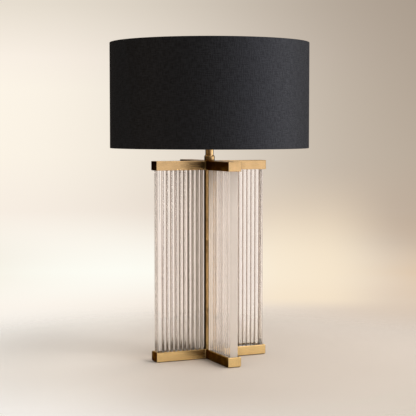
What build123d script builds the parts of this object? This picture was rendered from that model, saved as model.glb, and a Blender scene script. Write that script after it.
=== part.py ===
from build123d import *
import math
import os

os.makedirs("parts", exist_ok=True)

# Column table lamp: four fins of ribbed glass stand between two brass crosses, round a
# square brass column. A harp above the neck carries a drum shade and surrounds the bulb.
# Millimetres, +Z up. The origin is on the floor, on the lamp's axis. The bars point along
# X and Y, the front bar to -Y, and the cord enters at the end of the +Y bar.

# --- Sizes: crosses, column and foot ----------------------------------------------------
body_height = 458.0             # floor to the top of the upper cross
arm_reach = 138.0               # axis to the end of each bar
bar_width = 32.0
bar_height = 21.0
bar_edge_bevel = 0.8            # bevelled outer edges
inner_corner_radius = 3.0       # hollow between two neighbouring bars
column_wall = 2.0
column_edge_radius = 0.8
spigot_height = 4.0             # square boss of each cross, inside the column
spigot_edge_radius = 1.0
pad_thickness = 1.5             # felt under each bar
pad_inset = 2.0
pad_length = 96.0

# --- Sizes: glass fins --------------------------------------------------------------------
rib_count = 11
rib_pitch = 10.5
rib_height = 2.2                # how far a rib stands above the valleys beside it
fin_core_thickness = 18.3       # valley to valley
fin_column_gap = 1.5            # between the column and a fin's inner end
slot_depth = 3.0                # milled slot that holds a fin's foot or head
slot_clearance = 0.3
seat_thickness = 0.8            # clear cushion between the glass and the brass

# --- Sizes: rod through the middle, nut and cord inlet ---------------------------------------
pipe_radius = 5.0
pipe_bore_radius = 3.2
pipe_clearance = 0.3
pipe_tail = 1.5                 # pipe showing below the nut
recess_radius = 17.0
recess_depth = 10.5
washer_radius = 14.0
washer_thickness = 2.0
nut_width = 17.0                # across flats
nut_height = 5.0
nut_chamfer = 0.8
inlet_height = 8.5              # bush centre above the bar's underside
inlet_bore_radius = 3.5
bush_body_radius = 5.5
bush_flange_radius = 7.5
bush_flange_thickness = 1.8
bush_edge_bevel = 0.8
channel_width = 9.0             # cord channel in the underside of the +Y bar
channel_end_wall = 8.0
channel_depth = 12.0

# --- Sizes: neck ----------------------------------------------------------------------------
collar_radius = 12.0
collar_height = 12.5
collar_chamfer = 1.5
stem_radius = 9.5
stem_height = 24.0

# --- Sizes: harp, its saddle and its sleeves ---------------------------------------------------
saddle_thickness = 1.6
saddle_width = 12.0
saddle_half_length = 36.0
ear_offset = 29.0               # axis to the middle of an ear
ear_width = 5.0
ear_height = 13.0
harp_wire_radius = 1.6
sleeve_wall = 1.1
sleeve_height = 14.0
sleeve_travel = 12.0            # how far a sleeve lifts to free the harp
sleeve_clearance = 0.3
leg_spare = 4.0                 # straight leg left above a lifted sleeve
bow_half_width = 56.0           # harp's widest half, beside the bulb
bow_start_rise = 52.0           # leg's top to the widest part
bow_straight = 46.0
harp_top_half_width = 15.0
harp_shoulder_radius = 40.0
harp_waist_radius = 45.0
harp_crown_radius = 11.0
seat_gap = 0.05                 # between round pieces that are pressed or brazed together

# --- Sizes: shade, spider and finial ------------------------------------------------------------
shade_radius = 228.5
shade_height = 240.0
shade_lift = 29.0               # top of the upper cross to the shade's lower rim
fabric_thickness = 0.8
liner_thickness = 0.8
hem_height = 8.0                # fabric turned over a ring and glued inside
rim_edge_bevel = 0.5
ring_thickness = 1.5            # steel hoop inside each rim
ring_height = 4.0
spider_arm_count = 3
spider_wire_radius = 1.6
spider_drop = 14.6              # shade's upper rim to the middle of the spider's wires
spider_bend_radius = 6.0
hub_radius = 13.0
hub_thickness = 4.0
hub_edge_bevel = 0.3
hem_notch_clearance = 1.0
stud_radius = 3.1
stud_bush_radius = 5.5
stud_bush_height = 7.0
stud_standing = 10.0            # thread above the hub
hub_hole_clearance = 0.3
running_clearance = 0.05
insert_flange_radius = 7.0
insert_flange_thickness = 1.5
insert_radius = 4.6
insert_length = 9.5
knob_foot_radius = 8.0
knob_neck_radius = 6.2
knob_ball_radius = 9.0
knob_foot_height = 3.0
knob_ball_rise = 12.5           # knob's foot to the middle of its ball
knob_bore_spare = 0.5

# --- Sizes: lampholder, switch and bulb -----------------------------------------------------------
holder_hub_radius = 9.0
holder_hub_height = 5.0
holder_cap_height = 19.0
holder_cap_rim_height = 7.0
holder_wall = 0.8
shell_radius = 17.0
shell_wall = 0.6
shell_overlap = 6.0             # shell inside the cap's rim
shell_height = 46.0
shell_clearance = 0.1
card_wall = 0.6                 # fibre sleeve inside the shell
housing_radius = 14.9
housing_height = 22.0
housing_rise = 10.0             # cap's underside to the housing
screw_shell_radius = 13.9
screw_shell_wall = 0.5
screw_shell_height = 22.0
contact_width = 5.0
contact_thickness = 0.6
contact_length = 16.0
contact_rise = 2.4
terminal_radius = 2.0
terminal_height = 3.0
terminal_bore_clearance = 0.1
set_screw_radius = 1.5
switch_shaft_radius = 2.0
switch_shaft_depth = 9.0        # how deep the shaft sits in the housing
switch_shaft_rise = 5.0         # cap's rim to the shaft
switch_hole_radius = 3.4
knob_gap = 1.5                  # holder cap to the switch knob
switch_knob_radius = 5.0
switch_knob_length = 12.0
switch_knob_flutes = 8
switch_flute_radius = 1.0
bulb_cap_radius = 13.0
bulb_cap_height = 22.0
bulb_tip_radius = 4.5
bulb_tip_height = 3.0
bulb_radius = 30.0
bulb_neck_radius = 13.4
bulb_neck_height = 50.0         # cap's top to the globe's widest ring

# --- Heights and places that follow from the sizes ----------------------------------------------
lower_cross_z = pad_thickness
lower_cross_top = lower_cross_z + bar_height
upper_cross_z = body_height - bar_height
column_bore = bar_width - 2 * column_wall
fin_length = rib_count * rib_pitch
fin_start = bar_width / 2 + fin_column_gap
fin_end = fin_start + fin_length
fin_middle = (fin_start + fin_end) / 2
fin_half_core = fin_core_thickness / 2
fin_thickness = fin_core_thickness + 2 * rib_height
slot_length = fin_length + 2 * slot_clearance
slot_width = fin_thickness + 2 * slot_clearance
fin_foot_z = lower_cross_top - slot_depth + seat_thickness
fin_head_z = upper_cross_z + slot_depth - seat_thickness

pipe_hole_radius = pipe_radius + pipe_clearance
recess_roof = lower_cross_z + recess_depth
nut_z = recess_roof - washer_thickness - nut_height
pipe_foot_z = nut_z - pipe_tail
inlet_z = lower_cross_z + inlet_height
channel_end = arm_reach - channel_end_wall

collar_top = body_height + collar_height
saddle_z = collar_top + stem_height
ledge_z = saddle_z + saddle_thickness
holder_z = ledge_z
pipe_head_z = holder_z + holder_hub_height + holder_wall

shade_bottom = body_height + shade_lift
shade_top = shade_bottom + shade_height
liner_outer_radius = shade_radius - fabric_thickness
liner_inner_radius = liner_outer_radius - liner_thickness
ring_outer_radius = liner_inner_radius - seat_gap
ring_inner_radius = ring_outer_radius - ring_thickness
hem_outer_radius = ring_inner_radius - seat_gap
hem_inner_radius = hem_outer_radius - fabric_thickness
ring_inset = fabric_thickness + seat_gap
arm_z = shade_top - spider_drop
arm_end_radius = ring_inner_radius - seat_gap - spider_wire_radius
hub_z = arm_z - hub_thickness / 2
hub_top = hub_z + hub_thickness

harp_top_z = hub_z - stud_bush_height / 2
leg_x = ear_offset + saddle_thickness / 2 + seat_gap + harp_wire_radius
leg_top = ledge_z + sleeve_height + sleeve_travel + leg_spare
sleeve_inner_edge = ear_offset - saddle_thickness / 2
sleeve_x = (sleeve_inner_edge + leg_x + harp_wire_radius) / 2
sleeve_half_span = sleeve_x - sleeve_inner_edge
sleeve_bore_radius = math.hypot(sleeve_half_span, ear_width / 2) + sleeve_clearance
sleeve_radius = sleeve_bore_radius + sleeve_wall

cap_inner_radius = shell_radius + shell_clearance
cap_radius = cap_inner_radius + holder_wall
cap_top = holder_z + holder_cap_height
shell_z = cap_top - shell_overlap
shell_top = shell_z + shell_height
card_radius = shell_radius - shell_wall - shell_clearance
housing_z = holder_z + housing_rise
housing_top = housing_z + housing_height
shaft_z = cap_top + switch_shaft_rise
knob_start = cap_radius + knob_gap
contact_top = housing_top + contact_rise
bulb_cap_z = contact_top + bulb_tip_height
bulb_neck_z = bulb_cap_z + bulb_cap_height
bulb_centre_z = bulb_neck_z + bulb_neck_height

inlet_plane = Plane(origin=(0, arm_reach, inlet_z), x_dir=(-1, 0, 0), z_dir=(0, 1, 0))

ABOVE = 50.0                    # cutting depth that passes through any one piece


def keep(piece, node):
    """Label a finished piece and write it under its node's name."""
    piece.part.label = node
    export_step(piece.part, f"parts/{node}.step")


def bar_cross(base_z):
    """Two crossed bars from base_z up, hollow inner corners, bevelled outer edges."""
    with BuildSketch(Plane.XY.offset(base_z)) as plan:
        Rectangle(2 * arm_reach, bar_width)
        Rectangle(bar_width, 2 * arm_reach)
        inner_corners = plan.vertices().filter_by(lambda v: math.hypot(v.X, v.Y) < bar_width)
        fillet(inner_corners, inner_corner_radius)
    cross = extrude(plan.sketch, amount=bar_height)
    rims = cross.faces().filter_by(Axis.Z).edges()
    corners = cross.edges().filter_by(Axis.Z).filter_by(
        lambda e: math.hypot(e.center().X, e.center().Y) > arm_reach
    )
    chamfer(rims + corners, bar_edge_bevel)


def fin_slots(floor_z):
    """Four milled slots from floor_z up, one in each bar."""
    with BuildSketch(Plane.XY.offset(floor_z)) as slots:
        with PolarLocations(fin_middle, 4):
            Rectangle(slot_length, slot_width)
    extrude(slots.sketch, amount=slot_depth, mode=Mode.SUBTRACT)


def locating_spigot(base_z):
    """Square boss that centres the column, from base_z up."""
    side = column_bore - 2 * slot_clearance
    with BuildSketch(Plane.XY.offset(base_z)) as boss:
        RectangleRounded(side, side, spigot_edge_radius)
    extrude(boss.sketch, amount=spigot_height)


def inlet_arch(radius):
    """Round-topped notch, open to the bar's underside, that the inlet bush slides into."""
    Circle(radius)
    Rectangle(2 * radius, inlet_height, align=(Align.CENTER, Align.MAX))


def turned(profile_points):
    """Turn a closed outline of (radius, height) points about the lamp's axis."""
    with BuildSketch(Plane.XZ) as outline:
        with BuildLine():
            Polyline(*profile_points, close=True)
        make_face()
    revolve(outline.sketch, axis=Axis.Z)


# --- Foot ---------------------------------------------------------------------------------
with BuildPart() as foot_pads:
    with BuildSketch(Plane.XY):
        with PolarLocations(arm_reach - pad_inset - pad_length / 2, 4):
            Rectangle(pad_length, bar_width - 2 * pad_inset)
    extrude(amount=pad_thickness)
keep(foot_pads, "foot_pads")

with BuildPart() as bottom_cross:
    bar_cross(lower_cross_z)
    locating_spigot(lower_cross_top)
    fin_slots(lower_cross_top - slot_depth)
    with BuildSketch(Plane.XY.offset(lower_cross_z)):
        Circle(recess_radius)
    extrude(amount=recess_depth, mode=Mode.SUBTRACT)
    with BuildSketch(Plane.XY.offset(lower_cross_z)):
        with Locations((0, channel_end / 2)):
            Rectangle(channel_width, channel_end)
    extrude(amount=channel_depth, mode=Mode.SUBTRACT)
    with BuildSketch(Plane.XY.offset(lower_cross_z)):
        Circle(pipe_hole_radius)
    extrude(amount=ABOVE, mode=Mode.SUBTRACT)
    with BuildSketch(inlet_plane):
        inlet_arch(bush_body_radius + seat_gap)
    extrude(amount=-channel_end_wall, mode=Mode.SUBTRACT)
keep(bottom_cross, "bottom_cross")

with BuildPart() as base_washer:
    with BuildSketch(Plane.XY.offset(recess_roof - washer_thickness)):
        Circle(washer_radius)
        Circle(pipe_hole_radius, mode=Mode.SUBTRACT)
    extrude(amount=washer_thickness)
keep(base_washer, "base_washer")

with BuildPart() as base_nut:
    with BuildSketch(Plane.XY.offset(nut_z)):
        RegularPolygon(nut_width / 2, side_count=6, major_radius=False)
        Circle(pipe_radius + seat_gap, mode=Mode.SUBTRACT)
    extrude(amount=nut_height)
    # The lower corners are turned back as on any hexagon nut.
    with BuildSketch(Plane.XZ):
        with BuildLine():
            corner = nut_width / math.sqrt(3)
            Polyline(
                (nut_width / 2, nut_z),
                (corner + nut_chamfer, nut_z),
                (corner + nut_chamfer, nut_z + nut_chamfer),
                close=True,
            )
        make_face()
    revolve(axis=Axis.Z, mode=Mode.SUBTRACT)
keep(base_nut, "base_nut")

with BuildPart() as cord_inlet_bush:
    with BuildSketch(inlet_plane):
        Circle(bush_flange_radius)
    extrude(amount=bush_flange_thickness)
    chamfer(cord_inlet_bush.edges().group_by(Axis.Y)[-1], bush_edge_bevel)
    with BuildSketch(inlet_plane):
        inlet_arch(bush_body_radius)
    extrude(amount=-channel_end_wall)
    with BuildSketch(inlet_plane):
        Circle(inlet_bore_radius)
    extrude(amount=ABOVE, both=True, mode=Mode.SUBTRACT)
keep(cord_inlet_bush, "cord_inlet_bush")

# --- Column and the pipe that clamps the lamp together -----------------------------------------
with BuildPart() as column:
    with BuildSketch(Plane.XY.offset(lower_cross_top)):
        RectangleRounded(bar_width, bar_width, column_edge_radius)
        Rectangle(column_bore, column_bore, mode=Mode.SUBTRACT)
    extrude(amount=upper_cross_z - lower_cross_top)
keep(column, "column")

with BuildPart() as threaded_pipe:
    with BuildSketch(Plane.XY.offset(pipe_foot_z)):
        Circle(pipe_radius)
        Circle(pipe_bore_radius, mode=Mode.SUBTRACT)
    extrude(amount=pipe_head_z - pipe_foot_z)
keep(threaded_pipe, "threaded_pipe")

# --- Glass fins and their cushions -----------------------------------------------------------------
for node, turn in (
    ("glass_fin_right", 0),
    ("glass_fin_back", 90),
    ("glass_fin_left", 180),
    ("glass_fin_front", 270),
):
    with BuildPart() as glass_fin:
        with BuildSketch(Plane.XY.offset(fin_foot_z).rotated((0, 0, turn))):
            with BuildLine():
                for side in (-1, 1):
                    for rib in range(rib_count):
                        valley = fin_start + rib * rib_pitch
                        ThreePointArc(
                            (valley, side * fin_half_core),
                            (valley + rib_pitch / 2, side * (fin_half_core + rib_height)),
                            (valley + rib_pitch, side * fin_half_core),
                        )
                for end in (fin_start, fin_end):
                    Line((end, -fin_half_core), (end, fin_half_core))
            make_face()
        extrude(amount=fin_head_z - fin_foot_z)
    keep(glass_fin, node)

for node, seat_z in (
    ("glass_seats_lower", lower_cross_top - slot_depth),
    ("glass_seats_upper", fin_head_z),
):
    with BuildPart() as glass_seats:
        with BuildSketch(Plane.XY.offset(seat_z)):
            with PolarLocations(fin_middle, 4):
                Rectangle(fin_length, fin_core_thickness)
        extrude(amount=seat_thickness)
    keep(glass_seats, node)

# --- Upper cross and neck ---------------------------------------------------------------------------
with BuildPart() as top_cross:
    bar_cross(upper_cross_z)
    locating_spigot(upper_cross_z - spigot_height)
    fin_slots(upper_cross_z)
    with BuildSketch(Plane.XY.offset(upper_cross_z - spigot_height)):
        Circle(pipe_hole_radius)
    extrude(amount=ABOVE, mode=Mode.SUBTRACT)
keep(top_cross, "top_cross")

with BuildPart() as neck_collar:
    with BuildSketch(Plane.XY.offset(body_height)):
        Circle(collar_radius)
    extrude(amount=collar_height)
    chamfer(neck_collar.edges().group_by(Axis.Z)[-1], collar_chamfer)
    with BuildSketch(Plane.XY.offset(body_height)):
        Circle(pipe_hole_radius)
    extrude(amount=collar_height, mode=Mode.SUBTRACT)
keep(neck_collar, "neck_collar")

with BuildPart() as neck_stem:
    with BuildSketch(Plane.XY.offset(collar_top)):
        Circle(stem_radius)
        Circle(pipe_hole_radius, mode=Mode.SUBTRACT)
    extrude(amount=stem_height)
keep(neck_stem, "neck_stem")

# --- Harp -----------------------------------------------------------------------------------------------
with BuildPart() as harp_saddle:
    with BuildSketch(Plane.XY.offset(saddle_z)):
        SlotOverall(2 * saddle_half_length, saddle_width)
        Circle(pipe_hole_radius, mode=Mode.SUBTRACT)
    extrude(amount=saddle_thickness)
    with BuildSketch(Plane.XY.offset(ledge_z)):
        with Locations((-ear_offset, 0), (ear_offset, 0)):
            Rectangle(saddle_thickness, ear_width)
    extrude(amount=ear_height)
keep(harp_saddle, "harp_saddle")

with BuildPart() as harp:
    with BuildLine() as harp_route:
        right_half = [
            (leg_x, 0, ledge_z),
            (leg_x, 0, leg_top),
            (bow_half_width, 0, leg_top + bow_start_rise),
            (bow_half_width, 0, leg_top + bow_start_rise + bow_straight),
            (harp_top_half_width, 0, harp_top_z),
        ]
        left_half = [(-x, y, z) for x, y, z in reversed(right_half)]
        bends = [harp_shoulder_radius, harp_waist_radius, harp_waist_radius, harp_crown_radius]
        FilletPolyline(*right_half, *left_half, radius=bends + bends[::-1])
    with BuildSketch(Plane(origin=(leg_x, 0, ledge_z), z_dir=(0, 0, 1))):
        Circle(harp_wire_radius)
    sweep(path=harp_route.wires()[0])
keep(harp, "harp")

with BuildPart() as harp_stud:
    with BuildSketch(Plane.XY.offset(hub_z - stud_bush_height)):
        Circle(stud_bush_radius)
    extrude(amount=stud_bush_height)
    with BuildSketch(Plane.XY.offset(hub_z)):
        Circle(stud_radius)
    extrude(amount=hub_thickness + stud_standing)
    with BuildSketch(Plane.YZ.offset(-stud_bush_radius)):
        with Locations((0, harp_top_z)):
            Circle(harp_wire_radius + seat_gap)
    extrude(amount=2 * stud_bush_radius, mode=Mode.SUBTRACT)
keep(harp_stud, "harp_stud")

for node, side in (("harp_sleeve_left", -1), ("harp_sleeve_right", 1)):
    with BuildPart() as harp_sleeve:
        with BuildSketch(Plane.XY.offset(ledge_z)):
            with Locations((side * sleeve_x, 0)):
                Circle(sleeve_radius)
                Circle(sleeve_bore_radius, mode=Mode.SUBTRACT)
        extrude(amount=sleeve_height)
    keep(harp_sleeve, node)

# --- Lampholder --------------------------------------------------------------------------------------------
rim_start = cap_top - holder_cap_rim_height
hub_top_z = holder_z + holder_hub_height
with BuildPart() as holder_cap:
    turned(
        [
            (pipe_radius + seat_gap, holder_z),
            (holder_hub_radius, holder_z),
            (holder_hub_radius, hub_top_z),
            (cap_radius, rim_start),
            (cap_radius, cap_top),
            (cap_inner_radius, cap_top),
            (cap_inner_radius, rim_start + holder_wall / 2),
            (holder_hub_radius, hub_top_z + holder_wall),
            (pipe_radius + seat_gap, hub_top_z + holder_wall),
        ]
    )
    with BuildSketch(Plane.XZ.offset(pipe_radius)):
        with Locations((0, holder_z + holder_hub_height / 2)):
            Circle(set_screw_radius + seat_gap)
    extrude(amount=holder_hub_radius, mode=Mode.SUBTRACT)
keep(holder_cap, "holder_cap")

with BuildPart() as cap_set_screw:
    with BuildSketch(Plane.XZ.offset(pipe_radius + seat_gap)):
        with Locations((0, holder_z + holder_hub_height / 2)):
            Circle(set_screw_radius)
    extrude(amount=holder_hub_radius - pipe_radius)
keep(cap_set_screw, "cap_set_screw")


def holder_sleeve(radius, wall, base_z, top_z):
    """Thin tube of the lampholder with the switch shaft's hole in its front."""
    with BuildSketch(Plane.XY.offset(base_z)) as ring:
        Circle(radius)
        Circle(radius - wall, mode=Mode.SUBTRACT)
    extrude(ring.sketch, amount=top_z - base_z)
    with BuildSketch(Plane.XZ) as shaft_hole:
        with Locations((0, shaft_z)):
            Circle(switch_hole_radius)
    extrude(shaft_hole.sketch, amount=ABOVE, mode=Mode.SUBTRACT)


with BuildPart() as holder_shell:
    holder_sleeve(shell_radius, shell_wall, shell_z, shell_top)
keep(holder_shell, "holder_shell")

with BuildPart() as holder_card_sleeve:
    holder_sleeve(card_radius, card_wall, shell_z, shell_top - shell_wall)
keep(holder_card_sleeve, "holder_card_sleeve")

with BuildPart() as switch_housing:
    with BuildSketch(Plane.XY.offset(housing_z)):
        Circle(housing_radius)
    extrude(amount=housing_height)
    chamfer(switch_housing.edges().group_by(Axis.Z)[0], terminal_height)
    with BuildSketch(Plane.XZ.offset(housing_radius - switch_shaft_depth)):
        with Locations((0, shaft_z)):
            Circle(switch_shaft_radius + running_clearance)
    extrude(amount=ABOVE, mode=Mode.SUBTRACT)
    with BuildSketch(Plane.YZ.offset(-housing_radius)):
        with Locations((0, shaft_z)):
            Circle(terminal_radius + terminal_bore_clearance)
    extrude(amount=terminal_height, mode=Mode.SUBTRACT)
    with BuildSketch(Plane.YZ.offset(housing_radius)):
        with Locations((0, shaft_z)):
            Circle(terminal_radius + terminal_bore_clearance)
    extrude(amount=-terminal_height, mode=Mode.SUBTRACT)
keep(switch_housing, "switch_housing")

with BuildPart() as terminal_screws:
    for side in (-1, 1):
        with BuildSketch(Plane.YZ.offset(side * (housing_radius - terminal_height))):
            with Locations((0, shaft_z)):
                Circle(terminal_radius)
        extrude(amount=side * terminal_height)
keep(terminal_screws, "terminal_screws")

with BuildPart() as screw_shell:
    with BuildSketch(Plane.XY.offset(housing_top)):
        Circle(screw_shell_radius)
        Circle(screw_shell_radius - screw_shell_wall, mode=Mode.SUBTRACT)
    extrude(amount=screw_shell_height)
keep(screw_shell, "screw_shell")

with BuildPart() as centre_contact:
    # A bent strip: flat on the housing, then up to the tongue that meets the bulb.
    half = contact_length / 2
    rise = contact_rise - contact_thickness
    with BuildSketch(Plane.XZ):
        with BuildLine():
            Polyline(
                (-half, housing_top),
                (-half / 2, housing_top),
                (0, housing_top + rise),
                (half / 2, housing_top + rise),
                (half / 2, contact_top),
                (-contact_thickness, contact_top),
                (-half / 2 - contact_thickness / 2, housing_top + contact_thickness),
                (-half, housing_top + contact_thickness),
                close=True,
            )
        make_face()
    extrude(amount=contact_width / 2, both=True)
keep(centre_contact, "centre_contact")

# --- Switch ---------------------------------------------------------------------------------------------------
with BuildPart() as switch_shaft:
    with BuildSketch(Plane.XZ.offset(housing_radius - switch_shaft_depth + running_clearance)):
        with Locations((0, shaft_z)):
            Circle(switch_shaft_radius)
    extrude(amount=knob_start + switch_knob_length / 2 - housing_radius + switch_shaft_depth)
keep(switch_shaft, "switch_shaft")

with BuildPart() as switch_knob:
    with BuildSketch(Plane.XZ.offset(knob_start)):
        with Locations((0, shaft_z)):
            Circle(switch_knob_radius)
            with PolarLocations(switch_knob_radius, switch_knob_flutes):
                Circle(switch_flute_radius, mode=Mode.SUBTRACT)
    extrude(amount=switch_knob_length)
    with BuildSketch(Plane.XZ.offset(knob_start)):
        with Locations((0, shaft_z)):
            Circle(switch_shaft_radius + seat_gap)
    shaft_in_knob = switch_knob_length / 2 + 2 * running_clearance
    extrude(amount=shaft_in_knob, mode=Mode.SUBTRACT)
keep(switch_knob, "switch_knob")

# --- Bulb --------------------------------------------------------------------------------------------------------
with BuildPart() as bulb_cap:
    turned(
        [
            (0, contact_top),
            (bulb_tip_radius, contact_top),
            (bulb_cap_radius - bulb_tip_height / 2, bulb_cap_z),
            (bulb_cap_radius, bulb_cap_z + bulb_tip_height),
            (bulb_cap_radius, bulb_neck_z),
            (0, bulb_neck_z),
        ]
    )
keep(bulb_cap, "bulb_cap")

with BuildPart() as bulb_globe:
    with BuildSketch(Plane.XZ):
        with BuildLine():
            Line((0, bulb_neck_z), (bulb_neck_radius, bulb_neck_z))
            Spline(
                (bulb_neck_radius, bulb_neck_z),
                (bulb_radius, bulb_centre_z),
                tangents=[(0, 1), (0, 1)],
                tangent_scalars=[1.0, 1.1],
            )
            RadiusArc((bulb_radius, bulb_centre_z), (0, bulb_centre_z + bulb_radius), -bulb_radius)
            Line((0, bulb_centre_z + bulb_radius), (0, bulb_neck_z))
        make_face()
    revolve(axis=Axis.Z)
keep(bulb_globe, "bulb_globe")

# --- Shade ---------------------------------------------------------------------------------------------------------
with BuildPart() as shade_fabric:
    with BuildSketch(Plane.XZ):
        hem_width = shade_radius - hem_inner_radius
        wall_middle = shade_radius - fabric_thickness / 2
        return_middle = hem_inner_radius + fabric_thickness / 2
        with Locations((wall_middle, (shade_bottom + shade_top) / 2)):
            Rectangle(fabric_thickness, shade_height)
        for rim_z, inwards in ((shade_bottom, 1), (shade_top, -1)):
            with Locations((shade_radius - hem_width / 2, rim_z + inwards * fabric_thickness / 2)):
                Rectangle(hem_width, fabric_thickness)
            with Locations((return_middle, rim_z + inwards * hem_height / 2)):
                Rectangle(fabric_thickness, hem_height)
    revolve(axis=Axis.Z)
    rim_edges = shade_fabric.edges().filter_by(
        lambda e: abs(e.length - 2 * math.pi * shade_radius) < fabric_thickness
    )
    chamfer(rim_edges, rim_edge_bevel)
    # The upper hem is cut open where each spider wire climbs to the ring.
    notch_width = 2 * (spider_wire_radius + hem_notch_clearance)
    with BuildSketch(Plane.XY.offset(shade_top - fabric_thickness)):
        with PolarLocations(hem_inner_radius, spider_arm_count, start_angle=90):
            Rectangle(2 * spider_wire_radius + hem_notch_clearance, notch_width)
    extrude(amount=-hem_height, mode=Mode.SUBTRACT)
keep(shade_fabric, "shade_fabric")

with BuildPart() as shade_liner:
    with BuildSketch(Plane.XY.offset(shade_bottom + fabric_thickness)):
        Circle(liner_outer_radius)
        Circle(liner_inner_radius, mode=Mode.SUBTRACT)
    extrude(amount=shade_height - 2 * fabric_thickness)
keep(shade_liner, "shade_liner")

for node, ring_z in (
    ("shade_bottom_ring", shade_bottom + ring_inset),
    ("shade_top_ring", shade_top - ring_inset - ring_height),
):
    with BuildPart() as shade_ring:
        with BuildSketch(Plane.XY.offset(ring_z)):
            Circle(ring_outer_radius)
            Circle(ring_inner_radius, mode=Mode.SUBTRACT)
        extrude(amount=ring_height)
    keep(shade_ring, node)

with BuildPart() as shade_spider:
    with BuildSketch(Plane.XY.offset(hub_z)):
        Circle(hub_radius)
    extrude(amount=hub_thickness)
    chamfer(shade_spider.edges().group_by(Axis.Z)[-1], hub_edge_bevel)
    for arm in range(spider_arm_count):
        turn = 90 + arm * 360 / spider_arm_count
        with BuildLine(Plane.XZ.rotated((0, 0, turn))) as arm_route:
            FilletPolyline(
                (hub_radius / 2, arm_z),
                (arm_end_radius, arm_z),
                (arm_end_radius, shade_top - ring_inset - ring_height / 2),
                radius=spider_bend_radius,
            )
        with BuildSketch(Plane(arm_route.line @ 0, z_dir=arm_route.line % 0)):
            Circle(spider_wire_radius)
        sweep(path=arm_route.wires()[0])
    with BuildSketch(Plane.XY.offset(hub_z)):
        Circle(stud_radius + hub_hole_clearance)
    extrude(amount=hub_thickness, mode=Mode.SUBTRACT)
keep(shade_spider, "shade_spider")

# --- Finial -----------------------------------------------------------------------------------------------------------
knob_z = hub_top + insert_flange_thickness
with BuildPart() as finial_insert:
    with BuildSketch(Plane.XY.offset(hub_top)):
        Circle(insert_flange_radius)
    extrude(amount=insert_flange_thickness)
    with BuildSketch(Plane.XY.offset(knob_z)):
        Circle(insert_radius)
    extrude(amount=insert_length)
    with BuildSketch(Plane.XY.offset(hub_top)):
        Circle(stud_radius + running_clearance)
    extrude(amount=ABOVE, mode=Mode.SUBTRACT)
keep(finial_insert, "finial_insert")

with BuildPart() as finial_knob:
    ball_z = knob_z + knob_ball_rise
    neck_to_ball = math.sqrt(knob_ball_radius**2 - knob_neck_radius**2)
    with BuildSketch(Plane.XZ):
        with BuildLine():
            Polyline(
                (0, ball_z + knob_ball_radius),
                (0, knob_z),
                (knob_foot_radius, knob_z),
                (knob_foot_radius, knob_z + knob_foot_height),
                (knob_neck_radius, ball_z - neck_to_ball),
            )
            ThreePointArc(
                (knob_neck_radius, ball_z - neck_to_ball),
                (knob_ball_radius, ball_z),
                (0, ball_z + knob_ball_radius),
            )
        make_face()
    revolve(axis=Axis.Z)
    with BuildSketch(Plane.XY.offset(knob_z)):
        Circle(insert_radius + running_clearance)
    extrude(amount=insert_length + knob_bore_spare, mode=Mode.SUBTRACT)
keep(finial_knob, "finial_knob")
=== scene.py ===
import math

import bmesh
import bpy
from bmesh.types import BMEdge, BMFace, BMVert
from bpy.props import FloatProperty, FloatVectorProperty, IntProperty
from mathutils import Matrix, Vector
from mathutils.geometry import interpolate_bezier


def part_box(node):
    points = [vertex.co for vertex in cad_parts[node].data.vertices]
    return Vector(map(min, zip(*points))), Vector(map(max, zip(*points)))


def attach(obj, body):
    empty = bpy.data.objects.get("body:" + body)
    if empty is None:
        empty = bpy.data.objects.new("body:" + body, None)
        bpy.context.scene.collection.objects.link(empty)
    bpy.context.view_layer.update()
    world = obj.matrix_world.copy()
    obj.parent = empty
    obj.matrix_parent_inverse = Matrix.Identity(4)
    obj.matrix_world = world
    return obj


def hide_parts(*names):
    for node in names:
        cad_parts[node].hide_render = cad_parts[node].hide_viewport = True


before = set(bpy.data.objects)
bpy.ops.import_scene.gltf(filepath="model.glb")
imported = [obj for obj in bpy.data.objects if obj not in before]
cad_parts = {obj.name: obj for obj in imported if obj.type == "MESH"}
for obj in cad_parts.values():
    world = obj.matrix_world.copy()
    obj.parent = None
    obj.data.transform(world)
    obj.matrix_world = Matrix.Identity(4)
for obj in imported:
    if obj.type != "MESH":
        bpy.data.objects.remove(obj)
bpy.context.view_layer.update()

bl_info = {
    "name": "Column Table Lamp",
    "version": (1, 0, 0),
    "blender": (4, 5, 0),
    "location": "3D View > Sidebar > Lamp",
    "description": "Dresses the packed column table lamp: ribbed glass fins, antique brass and a drum shade",
    "category": "Object",
}

# Metres, +Z up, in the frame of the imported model: the lamp stands on z = 0 about the Z axis,
# its bars point along X and Y, and the front bar points to -Y.
MM = 0.001
FULL_TURN = 2 * math.pi
ROUND_STEPS = 4                                 # segments of a small rounded corner
WIRE_SIDES = 20
WIRE_BEND_STEPS = 10
SIDES = ("right", "back", "left", "front")      # of the fins, from +X by quarter turns
BAR_HALF_WIDTH = 16 * MM
FIN_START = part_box("glass_fin_right")[0].x      # from the axis to a fin's inner end
FIN_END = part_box("glass_fin_right")[1].x
COVER_RADIUS = 228.5 * MM
COVER_WALL = 0.8 * MM
COVER_TURN_IN = 4 * MM                          # over each rim
COVER_HEM = 8 * MM                              # down inside each rim
COVER_LAP = 12 * MM                             # where the cover's two ends overlap
COVER_STEPS = 252                               # so that one facet falls on each spider wire
LAP_STEPS = 6
SEAM_BEARING = 64.5                             # degrees from +X: the lap is at the back
SPIDER_BEARINGS = (90, 210, 330)                # degrees from +X
HOOP_STEPS = 256
BULB_THREAD_PITCH = 3.62 * MM                   # of the bulb's cap and of the shell it screws into
FINISHES = {}                                   # by slot, filled by main


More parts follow.
